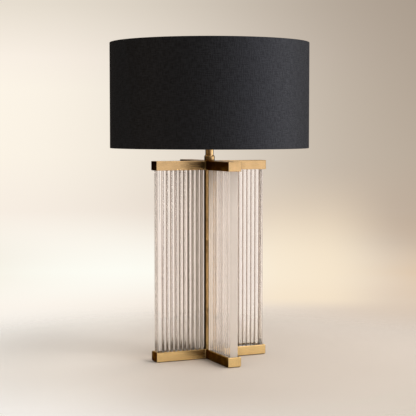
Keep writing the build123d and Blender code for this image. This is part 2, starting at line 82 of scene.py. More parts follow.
# --- Shader graph ---
class Signal:
    """An output socket that Python's operators work on: each adds a Math node."""

    def __init__(self, graph, socket):
        self.graph = graph
        self.socket = socket

    def math(self, operation, *others):
        """This signal and others through one Math node."""
        inputs = dict(enumerate((self, *others)))
        return self.graph.node("ShaderNodeMath", {"operation": operation}, inputs)

    def _swapped(self, operation, other):
        return self.graph.node("ShaderNodeMath", {"operation": operation}, {0: other, 1: self})

    def __abs__(self):
        return self.math("ABSOLUTE")

    def __add__(self, other):
        return self.math("ADD", other)

    def __sub__(self, other):
        return self.math("SUBTRACT", other)

    def __rsub__(self, other):
        return self._swapped("SUBTRACT", other)

    def __mul__(self, other):
        return self.math("MULTIPLY", other)

    def __truediv__(self, other):
        return self.math("DIVIDE", other)

    def __rtruediv__(self, other):
        return self._swapped("DIVIDE", other)

    def __pow__(self, other):
        return self.math("POWER", other)

    __radd__ = __add__
    __rmul__ = __mul__

    def step(self, low, high):
        """0 at low, 1 at high, with a smooth ramp between."""
        settings = {"interpolation_type": "SMOOTHSTEP"}
        return self.graph.node("ShaderNodeMapRange", settings, {0: self, 1: low, 2: high})


class Graph:
    """A material's or the world's node tree, emptied and built up again."""

    def __init__(self, tree):
        self.tree = tree
        tree.nodes.clear()

    def node(self, kind, settings=None, inputs=None, output=0):
        """One node: its settings first, then its sockets; gives one of its outputs."""
        made = self.tree.nodes.new(kind)
        for name, value in (settings or {}).items():
            if name == "stops":
                self._set_stops(made.color_ramp, value)
            else:
                setattr(made, name, value)
        self.feed(made, inputs or {})
        return Signal(self, made.outputs[output]) if made.outputs else made

    def feed(self, node, inputs):
        """Give a node's sockets, by name or number, their values or links."""
        for name, value in inputs.items():
            if isinstance(value, Signal):
                self.tree.links.new(value.socket, node.inputs[name])
            else:
                node.inputs[name].default_value = value

    def _set_stops(self, ramp, stops):
        while len(ramp.elements) < len(stops):
            ramp.elements.new(1.0)
        for element, (place, colour) in zip(ramp.elements, stops):
            element.position = place
            element.color = (*colour, 1.0)

    def outputs_of(self, signal):
        """All the outputs of the node that a signal comes from, by name."""
        return {s.name: Signal(self, s) for s in signal.socket.node.outputs}

    def mix(self, factor, first, second):
        """One colour fading to another as the factor goes from 0 to 1."""
        inputs = {0: factor, 6: first, 7: second}
        return self.node("ShaderNodeMix", {"data_type": "RGBA"}, inputs, output=2)

    def blend(self, factor, first, second):
        """One shader fading to another as the factor goes from 0 to 1."""
        return self.node("ShaderNodeMixShader", {}, {0: factor, 1: first, 2: second})

    def place(self, scale=(1, 1, 1), source="Object"):
        """A texture coordinate in metres, scaled."""
        point = self.node("ShaderNodeTexCoord", output=source)
        return self.node("ShaderNodeMapping", {}, {"Vector": point, "Scale": scale})

    def noise(self, scale, detail=2.0, roughness=0.5, source="Object"):
        """Noise from 0 to 1, with a number of features per metre along each axis."""
        inputs = {
            "Vector": self.place(scale, source),
            "Scale": 1.0,
            "Detail": detail,
            "Roughness": roughness,
        }
        return self.node("ShaderNodeTexNoise", {}, inputs)

    def bump(self, height, distance, strength=1.0):
        """A normal from a height signal."""
        inputs = {"Height": height, "Distance": distance, "Strength": strength}
        return self.node("ShaderNodeBump", {}, inputs)

    def parts(self, vector):
        """A vector's three numbers."""
        x = self.node("ShaderNodeSeparateXYZ", {}, {0: vector})
        return [Signal(self, s) for s in x.socket.node.outputs]


def material(name, constants):
    """A new material with one Principled shader: its graph and the shader's node."""
    made = bpy.data.materials.new(name)
    made.use_nodes = True
    graph = Graph(made.node_tree)
    shader = graph.node("ShaderNodeBsdfPrincipled", {}, constants)
    graph.node("ShaderNodeOutputMaterial", {}, {"Surface": shader})
    return made, graph, shader.socket.node


# --- Meshes ---
def only(kind, geom):
    """The vertices, edges or faces among an operator's results."""
    return [g for g in geom if isinstance(g, kind)]


def round_off(bm, geom, offset, affect):
    """Round vertices or edges."""
    bmesh.ops.bevel(
        bm,
        geom=geom,
        offset=offset,
        offset_type="OFFSET",
        affect=affect,
        segments=ROUND_STEPS,
        profile=0.5,
        material=-1,
    )


def outline(points, closed=True):
    """A new bmesh with one chain of points (x, z) or (x, z, rounding) in the XZ plane."""
    bm = bmesh.new()
    chain = [bm.verts.new((p[0], 0, p[1])) for p in points]
    ends = chain[1:] + chain[:1] if closed else chain[1:]
    for first, second in zip(chain, ends):
        bm.edges.new((first, second))
    for rounding in sorted({p[2] for p in points if len(p) > 2}):
        corners = [v for v, p in zip(chain, points) if len(p) > 2 and p[2] == rounding]
        round_off(bm, corners, rounding, "VERTICES")
    return bm


def spin_all(bm, angle, steps):
    """Spin everything in a bmesh about the lamp's axis; a full turn closes on itself."""
    bmesh.ops.spin(
        bm,
        geom=bm.verts[:] + bm.edges[:],
        cent=(0, 0, 0),
        axis=(0, 0, 1),
        angle=angle,
        steps=steps,
        use_merge=angle == FULL_TURN,
    )


def turned(points, closed=True, steps=96):
    """An outline turned about the lamp's axis into a closed piece."""
    bm = outline(points, closed)
    spin_all(bm, FULL_TURN, steps)
    return bm


def band(low, high, wall, rounding):
    """A round band that fills a box, with one wall thickness and its corners rounded."""
    inner = high.x - wall
    section = [
        (inner, low.z, rounding),
        (high.x, low.z, rounding),
        (high.x, high.z, rounding),
        (inner, high.z, rounding),
    ]
    return turned(section, steps=HOOP_STEPS)


def move(bm, offset):
    """Move a whole bmesh."""
    bmesh.ops.translate(bm, vec=offset, verts=bm.verts)


def turn_about(bm, degrees, axis="Z"):
    """Turn a whole bmesh about the lamp's axis, or about X through the origin."""
    matrix = Matrix.Rotation(math.radians(degrees), 3, axis)
    bmesh.ops.rotate(bm, cent=(0, 0, 0), matrix=matrix, verts=bm.verts)
    return bm


def add_into(bm, other):
    """Move another bmesh's faces into this one."""
    spare = bpy.data.meshes.new("spare")
    other.to_mesh(spare)
    other.free()
    bm.from_mesh(spare)
    bpy.data.meshes.remove(spare)


def wire(corners, bends, radius):
    """A round wire along corners, each one bent at its own radius, with closed ends."""
    bm = bmesh.new()
    points = [Vector(c) for c in corners]
    start = (points[1] - points[0]).normalized()
    at_start = Matrix.Translation(points[0]) @ start.to_track_quat("Z", "Y").to_matrix().to_4x4()
    bmesh.ops.create_circle(bm, cap_ends=False, segments=WIRE_SIDES, radius=radius, matrix=at_start)
    first_ring = ring = bm.edges[:]
    place = points[0]
    for index, bend in enumerate((*bends, 0)):
        corner = points[index + 1]
        along = (corner - points[index]).normalized()
        cut = 0.0
        if bend:
            onward = (points[index + 2] - corner).normalized()
            angle = along.angle(onward)
            cut = bend * math.tan(angle / 2)
        tangent = corner - along * cut
        made = bmesh.ops.extrude_edge_only(bm, edges=ring)["geom"]
        verts = only(BMVert, made)
        ring = only(BMEdge, made)
        bmesh.ops.translate(bm, vec=tangent - place, verts=verts)
        if bend:
            axis = along.cross(onward).normalized()
            toward_centre = axis.cross(along).normalized()
            made = bmesh.ops.spin(
                bm,
                geom=verts + ring,
                cent=tangent + toward_centre * bend,
                axis=axis,
                angle=angle,
                steps=WIRE_BEND_STEPS,
            )["geom_last"]
            ring = only(BMEdge, made)
            place = corner + onward * cut
    bmesh.ops.edgeloop_fill(bm, edges=first_ring)
    bmesh.ops.edgeloop_fill(bm, edges=ring)
    return bm


def thread(radius, depth, pitch, low, high, points=2, steps=24):
    """A screw thread about the lamp's axis: a wavy line spun one turn as it climbs one pitch."""
    rows = int((high - low) / pitch) * points
    line = [
        (radius - depth * (0.5 + 0.5 * math.cos(FULL_TURN * row / points)), low + row * pitch / points)
        for row in range(rows + 1 - points)
    ]
    bm = outline(line, closed=False)
    bmesh.ops.spin(
        bm,
        geom=bm.verts[:] + bm.edges[:],
        cent=(0, 0, 0),
        axis=(0, 0, 1),
        dvec=(0, 0, pitch / steps),
        angle=FULL_TURN,
        steps=steps,
    )
    bmesh.ops.remove_doubles(bm, verts=bm.verts, dist=0.01 * MM)
    bmesh.ops.holes_fill(bm, edges=[e for e in bm.edges if e.is_boundary], sides=0)
    return bm


def block(size, centre, edge, corner=0.0):
    """A bar of a size about a centre, its upright corners rounded and all its edges broken."""
    bm = bmesh.new()
    bmesh.ops.create_cube(bm, size=1.0)
    bmesh.ops.scale(bm, vec=size, verts=bm.verts)
    if corner:
        upright = [e for e in bm.edges if abs(e.verts[0].co.z - e.verts[1].co.z) > 0.5 * size[2]]
        round_off(bm, upright, corner, "EDGES")
    round_off(bm, bm.edges[:], edge, "EDGES")
    move(bm, centre)
    return bm


def cut_from(bm, tool):
    """A bmesh with another one cut out of it."""
    shapes = []
    for source in (bm, tool):
        bmesh.ops.recalc_face_normals(source, faces=source.faces)
        mesh = bpy.data.meshes.new("cut")
        source.to_mesh(mesh)
        source.free()
        shape = bpy.data.objects.new("cut", mesh)
        bpy.context.scene.collection.objects.link(shape)
        shapes.append(shape)
    cut = shapes[0].modifiers.new("cut", "BOOLEAN")
    cut.operation = "DIFFERENCE"
    cut.solver = "EXACT"
    cut.object = shapes[1]
    result = bmesh.new()
    result.from_object(shapes[0], bpy.context.evaluated_depsgraph_get())
    for shape in shapes:
        bpy.data.meshes.remove(shape.data)
    return result


def piece(name, bm, slot, body, *nodes, finish=None, smooth_angle=35):
    """Keep a bmesh as a shown piece that rides on a body and stands for CAD nodes."""
    bmesh.ops.remove_doubles(bm, verts=bm.verts, dist=0.002 * MM)
    bmesh.ops.recalc_face_normals(bm, faces=bm.faces)
    limit = math.radians(smooth_angle)
    for edge in bm.edges:
        edge.smooth = edge.calc_face_angle(0.0) < limit
    for face in bm.faces:
        face.smooth = True
    mesh = bpy.data.meshes.new(name)
    bm.to_mesh(mesh)
    bm.free()
    mesh.materials.append(FINISHES[finish or slot])
    made = bpy.data.objects.new(name, mesh)
    bpy.context.scene.collection.objects.link(made)
    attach(made, body)
    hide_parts(*nodes)
    return made


def dress(slot, *nodes):
    """Give CAD nodes that stay the finish of their slot."""
    for node in nodes:
        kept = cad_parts[node]
        kept.data.materials.clear()
        kept.data.materials.append(FINISHES[slot])


# --- Finishes ---
def brass_finish(name, sizes, polish=0.0, sides=1.0):
    """Antique brass: brushed along the bars, with random aged patches, painted shade on the faces that look
    along X and in the corners near the centre, and painted light near the floor.
    """
    made, g, shader = material(name, {"Metallic": 1.0, "Specular Tint": (0.35, 0.26, 0.16, 1)})
    x, y, z = g.parts(g.place())
    facing_x, _, _ = g.parts(g.node("ShaderNodeNewGeometry", output="True Normal"))
    along, across = 9, 1900         # the brushing's features per metre
    along_x = g.noise((along, across, across), detail=3)
    along_y = g.noise((across, along, across), detail=3)
    on_y_bar = (abs(y) - abs(x)).step(-MM, MM)
    grain = along_x + (along_y - along_x) * on_y_bar
    patches = g.noise((45, 45, 60), detail=5, roughness=0.6).step(0.38, 0.66)
    reach = abs(x).math("MAXIMUM", abs(y))
    # painted shade: darker near the axis where the bars meet, widening upwards
    corner = 1 - reach.step(BAR_HALF_WIDTH, BAR_HALF_WIDTH + 20 * MM + 0.05 * z)
    # painted shade: the faces that look along X darker, weighted by sides
    painted_side_shade = abs(facing_x).step(0.35, 0.9) * sides
    # the random patches are real aged brass; the corner and side terms are painted shade
    patina_and_shade = 0.12 * patches + corner * (0.25 + 0.35 * patches) + painted_side_shade * (0.88 + 0.1 * patches)
    patina_and_shade = (patina_and_shade * (1 - polish)).math("MINIMUM", 0.97)
    gold = g.mix(grain, (*sizes.brass_deep, 1), (*sizes.brass_gold, 1))
    # painted light: the brass lighter and warmer near the floor
    painted_at_foot = 1 - z.step(0.02, 0.1)
    gold = g.mix(0.9 * painted_at_foot, gold, (1.0, 0.74, 0.345, 1))
    inputs = {
        "Base Color": g.mix(patina_and_shade, gold, (*sizes.brass_patina_and_shade, 1)),
        "Roughness": 0.2 + 0.12 * grain + 0.03 * patina_and_shade - 0.12 * polish,
        "Normal": g.bump(grain, 0.02 * MM, 0.5 * (1 - polish)),
    }
    g.feed(shader, inputs)
    return made


def glass_finish(name, sizes):
    """Clear pressed glass: painted brown shade in the valleys between its ribs, painted dark refraction near
    its foot, ground at its ends.
    """
    made, g, shader = material(name, {"Roughness": 0.0, "IOR": 1.5, "Transmission Weight": 1.0})
    x, y, z = g.parts(g.place())
    reach = abs(x).math("MAXIMUM", abs(y))
    on_x_fin = (abs(x) - abs(y)).step(-MM, MM)
    on_right = x.step(0.0, 10 * MM)
    entering = 1 - g.node("ShaderNodeNewGeometry", output="Backfacing")

    across_rib = ((reach - FIN_START) / sizes.rib_pitch).math("FRACT")
    # painted shade: brown lines down the rib valleys, wider on the right fin
    painted_valley_shade = (abs(across_rib - 0.5) * 2).step(0.74 - 0.27 * on_right, 0.96)
    on_ribs = 1 - reach.step(FIN_END - 0.4 * MM, FIN_END - 0.3 * MM)
    # the painted shade mostly on the fins along X, only where rays enter the glass
    share = on_ribs * entering * (0.06 + 0.94 * on_x_fin)
    tint_and_painted_shade = g.mix(painted_valley_shade * share, (*sizes.glass_tint, 1), (*sizes.glass_valley_shade, 1))
    # painted refraction: dark streaks near the foot of the fins
    painted_at_foot = 1 - z.step(0.024, 0.062)
    painted_refraction_streaks = g.noise((520, 520, 14), detail=1).step(0.46, 0.6)
    tint_and_painted_shade = g.mix(0.85 * painted_at_foot * painted_refraction_streaks * on_ribs * entering, tint_and_painted_shade, (0.06, 0.05, 0.045, 1))
    ripple = g.noise((60, 60, 2.5), detail=2)
    g.feed(shader, {"Base Color": tint_and_painted_shade, "Normal": g.bump(ripple, 0.4 * MM, 0.05)})

    milk = g.node("ShaderNodeBsdfTranslucent", {}, {"Color": (0.67, 0.62, 0.59, 1)})
    haze = 0.02 + 0.2 * (1 - on_x_fin)
    body = g.blend(haze, Signal(g, shader.outputs[0]), milk)
    clear = g.node("ShaderNodeBsdfTransparent", {}, {"Color": (0.95, 0.93, 0.91, 1)})
    in_shadow = g.outputs_of(g.node("ShaderNodeLightPath"))["Is Shadow Ray"]
    mixed = g.blend(in_shadow, body, clear)
    ground = g.node("ShaderNodeBsdfDiffuse", {}, {"Color": (0.82, 0.75, 0.68, 1)})
    at_inner_end = 1 - reach.step(FIN_START + 0.05 * MM, FIN_START + 0.15 * MM)
    at_outer_end = reach.step(FIN_END - 0.15 * MM, FIN_END - 0.05 * MM) * (1 - on_x_fin)
    surface = g.blend(at_inner_end + 0.5 * at_outer_end, mixed, ground)
    g.feed(g.tree.nodes.get("Material Output"), {"Surface": surface})
    return made


def cloth_finish(name, colour, spacing):
    """Plain linen weave on the piece's own UV map, which is in metres."""
    made, g, shader = material(name, {"Specular IOR Level": 0.45, "Specular Tint": (0.86, 0.9, 1.0, 1)})
    u, v, _ = g.parts(g.node("ShaderNodeTexCoord", output="UV"))
    slub_u = g.noise((30, 1400, 1), source="UV")
    slub_v = g.noise((1400, 30, 1), source="UV")
    knot_u = g.noise((70, 480, 1), detail=3, source="UV")
    knot_v = g.noise((480, 70, 1), detail=3, source="UV")
    warp = (u * (FULL_TURN / spacing)).math("SINE")
    weft = (v * (FULL_TURN / spacing)).math("SINE")
    weave = warp * weft * 0.5 + 0.5
    knots = (knot_u + knot_v).step(0.8, 1.2)
    height = 0.3 * weave + 0.15 * (slub_u + slub_v) + 0.8 * knots
    tone = 0.75 * knots + 0.15 * (slub_u + slub_v) * 0.5 + 0.1 * weave
    low = tuple(c * 0.3 for c in colour)
    high = tuple(c * 1.9 for c in colour)
    inputs = {
        "Base Color": g.mix(tone, (*low, 1), (*high, 1)),
        "Roughness": 0.62 - 0.14 * tone,
        "Normal": g.bump(height, 0.4 * MM, 0.6),
    }
    g.feed(shader, inputs)
    return made


def plain_finish(name, colour, rough=0.5, metallic=0.0, grain=800, depth=0.04 * MM, spread=0.12):
    """A moulded, cast or drawn surface: fine grain in its colour, gloss and relief."""
    made, g, shader = material(name, {"Metallic": metallic})
    speck = g.noise((grain, grain, grain), detail=3)
    low = tuple(c * (1 - spread) for c in colour)
    high = tuple(min(1.0, c * (1 + spread)) for c in colour)
    inputs = {
        "Base Color": g.mix(speck, (*low, 1), (*high, 1)),
        "Roughness": (rough - 0.5 * spread) + spread * speck,
        "Normal": g.bump(speck, depth),
    }
    g.feed(shader, inputs)
    return made


def finishes(sizes):
    """Every finish by the record's slot, and the collar's antique brass, a little polished and with less
    painted side shade.
    """
    return {
        "antique_brass": brass_finish("antique brass", sizes),
        "collar_brass": brass_finish("collar brass", sizes, polish=0.1, sides=0.3),
        "polished_brass": brass_finish("polished brass", sizes, polish=0.8),
        "ribbed_glass": glass_finish("ribbed glass", sizes),
        "black_weave": cloth_finish("black weave", sizes.cloth_black, sizes.thread_pitch),
        "shade_lining": plain_finish("shade lining", (0.82, 0.79, 0.72), 0.45),
        "foot_felt": plain_finish("foot felt", (0.02, 0.018, 0.016), 0.95, grain=1500, depth=0.4 * MM),
        "clear_cushion": plain_finish("clear cushion", (0.75, 0.75, 0.72), 0.3),
        "zinc_steel": plain_finish("zinc steel", (0.55, 0.56, 0.55), 0.35, metallic=1.0),
        "ring_wire": plain_finish("ring wire", (0.5, 0.5, 0.49), 0.4, metallic=1.0),
        "black_resin": plain_finish("black resin", (0.015, 0.015, 0.016), 0.35),
        "fibre_card": plain_finish("fibre card", (0.45, 0.33, 0.2), 0.8),
        "bulb_aluminium": plain_finish("bulb aluminium", (0.7, 0.7, 0.69), 0.3, metallic=1.0),
        "opal_glass": plain_finish("opal glass", (0.86, 0.86, 0.84), 0.12, spread=0.04),
    }


# --- Sizes and colours ---
class LampSizes(bpy.types.PropertyGroup):
    """What a user would change on the dressed lamp."""

    rib_count: IntProperty(name="Ribs", description="Ribs on each side of a fin", default=11, min=1)
    rib_steps: IntProperty(name="Rib segments", description="Facets across one rib", default=14, min=4)
    rib_pitch: FloatProperty(
        name="Rib pitch", description="Width of one rib", default=10.5 * MM, unit="LENGTH"
    )
    rib_height: FloatProperty(
        name="Rib height", description="Rib above its valleys", default=2.2 * MM, unit="LENGTH"
    )
    thread_pitch: FloatProperty(
        name="Thread pitch", description="Spacing of the shade's threads", default=1.1 * MM, unit="LENGTH"
    )
    glass_tint: FloatVectorProperty(
        name="Glass", description="Tint of the glass", default=(1.0, 0.985, 0.97), subtype="COLOR"
    )
    # colour of the painted shade in the glass's rib valleys
    glass_valley_shade: FloatVectorProperty(
        name="Glass valleys", description="Glass between ribs", default=(0.14, 0.082, 0.046), subtype="COLOR"
    )
    brass_gold: FloatVectorProperty(
        name="Gold", description="Bare brass", default=(0.90, 0.625, 0.30), subtype="COLOR"
    )
    brass_deep: FloatVectorProperty(
        name="Deep gold", description="Brass in the grain", default=(0.74, 0.485, 0.21), subtype="COLOR"
    )
    # aged brass colour, also the colour of the painted shade on the brass
    brass_patina_and_shade: FloatVectorProperty(
        name="Patina", description="Aged brass", default=(0.085, 0.05, 0.02), subtype="COLOR"
    )
    cloth_black: FloatVectorProperty(
        name="Shade", description="The shade's linen", default=(0.0080, 0.0084, 0.0096), subtype="COLOR"
    )


# --- Stage ---
class StageOperator(bpy.types.Operator):
    """Photograph's camera, pale floor, studio light and backdrop"""

    bl_idname = "lamp.stage"
    bl_label = "Studio"

    def execute(self, context):
        make_camera(context.scene)
        make_floor(context.scene)
        make_lights(context.scene)
        make_world(context.scene)
        return {"FINISHED"}


CAMERA_PLACE = (-1.161, -2.597, 0.534)
CAMERA_TURN = math.radians(-24.02)      # clockwise from +Y, seen from above
CAMERA_PITCH = math.radians(-3.733)
CAMERA_LENS = 106.75
FLOOR_RADIUS = 3.0
LIGHT_COLOUR = (1.0, 0.96, 0.9)
LIGHT_AIM = Vector((0, 0, 0.35))
LIGHTS = (                              # name, place, side and power
    ("key softbox", (1.5, -1.9, 1.9), 1.6, 56.0),
    ("side softbox", (2.2, 0.5, 1.0), 1.2, 26.0),
)
ROOM_COLOUR = (0.5, 0.48, 0.46, 1)      # the world, as it lights dull surfaces
BEHIND_GLASS = (0.92, 0.82, 0.74, 1)    # the world, as seen through the fins


def make_camera(scene):
    """The photograph's viewpoint."""
    data = bpy.data.cameras.new("camera")
    data.lens = CAMERA_LENS
    data.sensor_width = 36.0
    camera = bpy.data.objects.new("camera", data)
    camera.location = CAMERA_PLACE
    camera.rotation_euler = (math.pi / 2 + CAMERA_PITCH, 0, CAMERA_TURN)
    scene.collection.objects.link(camera)
    scene.camera = camera
    scene.view_settings.view_transform = "Standard"


def make_floor(scene):
    """A pale disc under the lamp that fades out into the backdrop."""
    bm = bmesh.new()
    bmesh.ops.create_circle(bm, cap_ends=True, segments=96, radius=FLOOR_RADIUS)
    mesh = bpy.data.meshes.new("floor")
    bm.to_mesh(mesh)
    bm.free()
    finish, g, shader = material("floor", {"Roughness": 0.7})
    x, y, _ = g.parts(g.place())
    reach = (x * x + y * y) ** 0.5
    cloud = g.noise((3, 3, 3), detail=1)
    tone = g.mix(cloud, (0.655, 0.585, 0.52, 1), (0.69, 0.62, 0.555, 1))
    # painted light: the floor paler to the lamp's left, as if lit there
    painted_light_left = 1 - (0.913 * x - 0.407 * y).step(-0.35, 0.0)      # the floor's paler left side
    tone = g.mix(painted_light_left, tone, (0.95, 0.90, 0.84, 1))
    g.feed(shader, {"Base Color": tone, "Alpha": 1 - reach.step(0.3, 0.9)})
    mesh.materials.append(finish)
    floor = bpy.data.objects.new("floor", mesh)
    scene.collection.objects.link(floor)


def make_lights(scene):
    """Two softboxes: the key from the front right and a smaller one from the right."""
    for name, place, size, power in LIGHTS:
        data = bpy.data.lights.new(name, "AREA")
        data.shape = "SQUARE"
        data.size = size
        data.energy = power
        data.color = LIGHT_COLOUR
        lamp = bpy.data.objects.new(name, data)
        lamp.location = place
        aim = LIGHT_AIM - Vector(place)
        lamp.rotation_euler = aim.to_track_quat("-Z", "Y").to_euler()
        lamp.visible_camera = False
        lamp.visible_glossy = False
        lamp.visible_transmission = False
        scene.collection.objects.link(lamp)


def make_world(scene):
    """Pale backdrop for the camera, and a studio's bright and dark sides in metal and glass."""
    world = bpy.data.worlds.new("studio")
    world.use_nodes = True
    scene.world = world
    g = Graph(world.node_tree)
    x, y, z = g.parts(g.node("ShaderNodeTexCoord"))
    bearing = x.math("ARCTAN2", y)      # clockwise from +Y
    path = g.outputs_of(g.node("ShaderNodeLightPath"))
    seen = g.mix(path["Is Glossy Ray"], ROOM_COLOUR, studio_in_metal(g, bearing))
    seen = g.mix(path["Is Transmission Ray"], seen, BEHIND_GLASS)
    seen = g.mix(path["Is Camera Ray"], seen, backdrop(g, bearing, z))
    sky = g.node("ShaderNodeBackground", {}, {"Color": seen, "Strength": 1.0})
    g.node("ShaderNodeOutputWorld", {}, {"Surface": sky})


def backdrop(g, bearing, z):
    """What the camera sees: cream on the left, taupe on the right, and a warm band low down."""
    height = (z + 0.25) / 0.4
    glow = height.step(0.24, 0.33) * (1 - height.step(0.35, 0.48))
    sway = (8 * (bearing - math.radians(13.5) - math.radians(6) * glow)).math("COSINE")
    right = 0.5 - 0.5 * sway
    lit_side = [
        (0.07, (0.93, 0.90, 0.86)), (0.22, (0.90, 0.86, 0.80)), (0.27, (0.97, 0.91, 0.83)),
        (0.335, (0.985, 0.98, 0.90)), (0.457, (0.93, 0.85, 0.76)), (0.57, (0.97, 0.90, 0.79)),
        (0.70, (0.98, 0.91, 0.80)), (0.766, (0.95, 0.87, 0.775)), (0.869, (0.80, 0.73, 0.63)),
    ]
    far_side = [
        (0.07, (0.70, 0.62, 0.53)), (0.22, (0.67, 0.58, 0.50)), (0.28, (0.70, 0.56, 0.43)),
        (0.335, (0.62, 0.40, 0.22)), (0.395, (0.50, 0.37, 0.26)), (0.457, (0.51, 0.41, 0.32)),
        (0.57, (0.48, 0.40, 0.32)), (0.869, (0.40, 0.33, 0.265)),
    ]
    left, far = (
        g.node("ShaderNodeValToRGB", {"stops": stops}, {"Fac": height}) for stops in (lit_side, far_side)
    )
    bay = 1 - abs(bearing - math.radians(28.4)).step(math.radians(0.8), math.radians(4.6))
    low_band = height.step(0.255, 0.285) * (1 - height.step(0.36, 0.56))
    return g.mix(0.6 * bay * low_band, g.mix(right, left, far), (0.98, 0.82, 0.60, 1))


def studio_in_metal(g, bearing):
    """What brass mirrors: a softbox from the right round to the front, a narrow one behind, dark between."""
    stops = [
        (0.0, (0.45, 0.4, 0.35)), (0.03, (0.14, 0.11, 0.08)), (0.10, (0.12, 0.09, 0.06)),
        (0.22, (0.10, 0.07, 0.05)), (0.27, (0.55, 0.42, 0.3)), (0.33, (0.04, 0.03, 0.02)),
        (0.54, (0.04, 0.03, 0.02)), (0.553, (0.8, 0.76, 0.74)), (0.585, (0.8, 0.76, 0.74)),
        (0.60, (0.12, 0.11, 0.10)), (0.745, (0.12, 0.11, 0.10)), (0.76, (2.1, 2.05, 2.1)),
        (0.80, (2.1, 2.05, 2.1)), (0.83, (1.5, 1.45, 1.55)), (0.88, (1.1, 1.05, 1.15)),
        (0.925, (1.1, 1.05, 1.15)), (0.94, (0.8, 0.76, 0.8)), (1.0, (0.45, 0.4, 0.35)),
    ]
    return g.node("ShaderNodeValToRGB", {"stops": stops}, {"Fac": bearing / FULL_TURN + 0.5})


# --- Base and glass ---
class GlassOperator(bpy.types.Operator):
    """Four ribbed glass fins between the crosses"""

    bl_idname = "lamp.glass"
    bl_label = "Glass fins"

    def execute(self, context):
        sizes = context.scene.lamp_sizes
        for quarter, side in enumerate(SIDES):
            node = f"glass_fin_{side}"
            bm = turn_about(ribbed_fin(sizes), quarter * 90)
            piece(f"ribbed_{node}", bm, "ribbed_glass", "lamp_base", node, smooth_angle=30)
        dress("clear_cushion", "glass_seats_lower", "glass_seats_upper")
        return {"FINISHED"}


def ribbed_fin(sizes):
    """The right fin, with ribs on both faces, each rib an arc from its pitch and height."""
    low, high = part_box("glass_fin_right")
    bm = bmesh.new()
    start = Vector((low.x, high.y - sizes.rib_height, low.z))
    chord = sizes.rib_pitch / 2
    radius = (chord**2 + sizes.rib_height**2) / (2 * sizes.rib_height)
    centre = start + Vector((chord, sizes.rib_height - radius, 0))
    swing = 2 * math.asin(chord / radius)
    verts = [bm.verts.new(start)]
    bmesh.ops.spin(bm, geom=verts, cent=centre, axis=(0, 0, -1), angle=swing, steps=sizes.rib_steps)
    rib = bm.verts[:] + bm.edges[:]
    for index in range(1, sizes.rib_count):
        made = bmesh.ops.duplicate(bm, geom=rib)["geom"]
        bmesh.ops.translate(bm, vec=(index * sizes.rib_pitch, 0, 0), verts=only(BMVert, made))
    one_side = bm.verts[:] + bm.edges[:]
    bmesh.ops.mirror(bm, geom=one_side, matrix=Matrix.Identity(4), axis="Y", merge_dist=-1)
    bmesh.ops.remove_doubles(bm, verts=bm.verts, dist=0.01 * MM)
    for x in (low.x, high.x):
        ends = [v for v in bm.verts if abs(v.co.x - x) < 0.01 * MM]
        bm.edges.new(ends)
    face = bmesh.ops.contextual_create(bm, geom=bm.edges)["faces"]
    made = bmesh.ops.extrude_face_region(bm, geom=face)["geom"]
    bmesh.ops.translate(bm, vec=(0, 0, high.z - low.z), verts=only(BMVert, made))
    return bm


class BrassOperator(bpy.types.Operator):
    """Finish of the two crosses and the column"""

    bl_idname = "lamp.brass"
    bl_label = "Crosses and column"

    def execute(self, context):
        dress("antique_brass", "bottom_cross", "top_cross", "column")
        dress("foot_felt", "foot_pads")
        dress("zinc_steel", "base_washer", "base_nut", "threaded_pipe")
        dress("black_resin", "cord_inlet_bush")
        return {"FINISHED"}


class NeckOperator(bpy.types.Operator):
    """Collar and stem between the upper cross and the shade"""

    bl_idname = "lamp.neck"
    bl_label = "Neck"

    def execute(self, context):
        bore = 5.3 * MM
        low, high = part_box("neck_collar")
        collar = turned(
            [
                (bore, low.z),
                (high.x, low.z, 0.4 * MM),
                (high.x, high.z - 2.2 * MM, 0.8 * MM),
                (high.x - 1.8 * MM, high.z, 0.4 * MM),
                (bore, high.z),
            ]
        )
        piece("collar", collar, "antique_brass", "lamp_base", "neck_collar", finish="collar_brass")
        low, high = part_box("neck_stem")
        stem = turned(
            [
                (bore, low.z),
                (high.x, low.z, 0.3 * MM),
                (high.x, high.z, 0.6 * MM),
                (bore, high.z),
            ]
        )
        piece("stem", stem, "polished_brass", "lamp_base", "neck_stem")
        return {"FINISHED"}


# --- Shade ---
class ShadeOperator(bpy.types.Operator):
    """Linen drum shade with rolled rims, its lining and its rings"""

    bl_idname = "lamp.shade"
    bl_label = "Shade"

    def execute(self, context):
        low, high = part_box("shade_fabric")
        cover = piece("linen_cover", linen_cover(low, high), "black_weave", "shade", "shade_fabric")
        seam = piece("cover_lap", cover_lap(low, high), "black_weave", "shade", "shade_fabric")
        lining = band(*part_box("shade_liner"), 0.8 * MM, 0.3 * MM)
        piece("lining", lining, "shade_lining", "shade", "shade_liner")
        for side in ("top", "bottom"):
            node = f"shade_{side}_ring"
            piece(f"hoop_{side}", band(*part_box(node), 1.5 * MM, 0.5 * MM), "ring_wire", "shade", node)
        piece("spider", spider(), "ring_wire", "shade", "shade_spider")
        return {"FINISHED"}


def linen_cover(low, high):
    """The drum's cloth, turned in over both rims, with a hem down inside each."""
    fold = 0.7 * MM
    outer, inner = high.x, high.x - COVER_TURN_IN
    outer_back, inner_back = outer - COVER_WALL, inner + COVER_WALL
    top_back, bottom_back = high.z - COVER_WALL, low.z + COVER_WALL
    top_hem, bottom_hem = high.z - COVER_HEM, low.z + COVER_HEM
    bm = turned(
        [
            (outer, low.z, fold),
            (outer, high.z, fold),
            (inner, high.z, fold),
            (inner, top_hem),
            (inner_back, top_hem),
            (inner_back, top_back),
            (outer_back, top_back),
            (outer_back, bottom_back),
            (inner_back, bottom_back),
            (inner_back, bottom_hem),
            (inner, bottom_hem),
            (inner, low.z, fold),
        ],
        steps=COVER_STEPS,
    )
    turn_about(bm, 180 / COVER_STEPS)
    for bearing in SPIDER_BEARINGS:
        notch_hem(bm, math.radians(bearing), inner, top_hem, top_back)
    lay_weave(bm)
    return bm


def wrapped(angle):
    """An angle brought to half a turn either way."""
    return (angle + math.pi) % FULL_TURN - math.pi


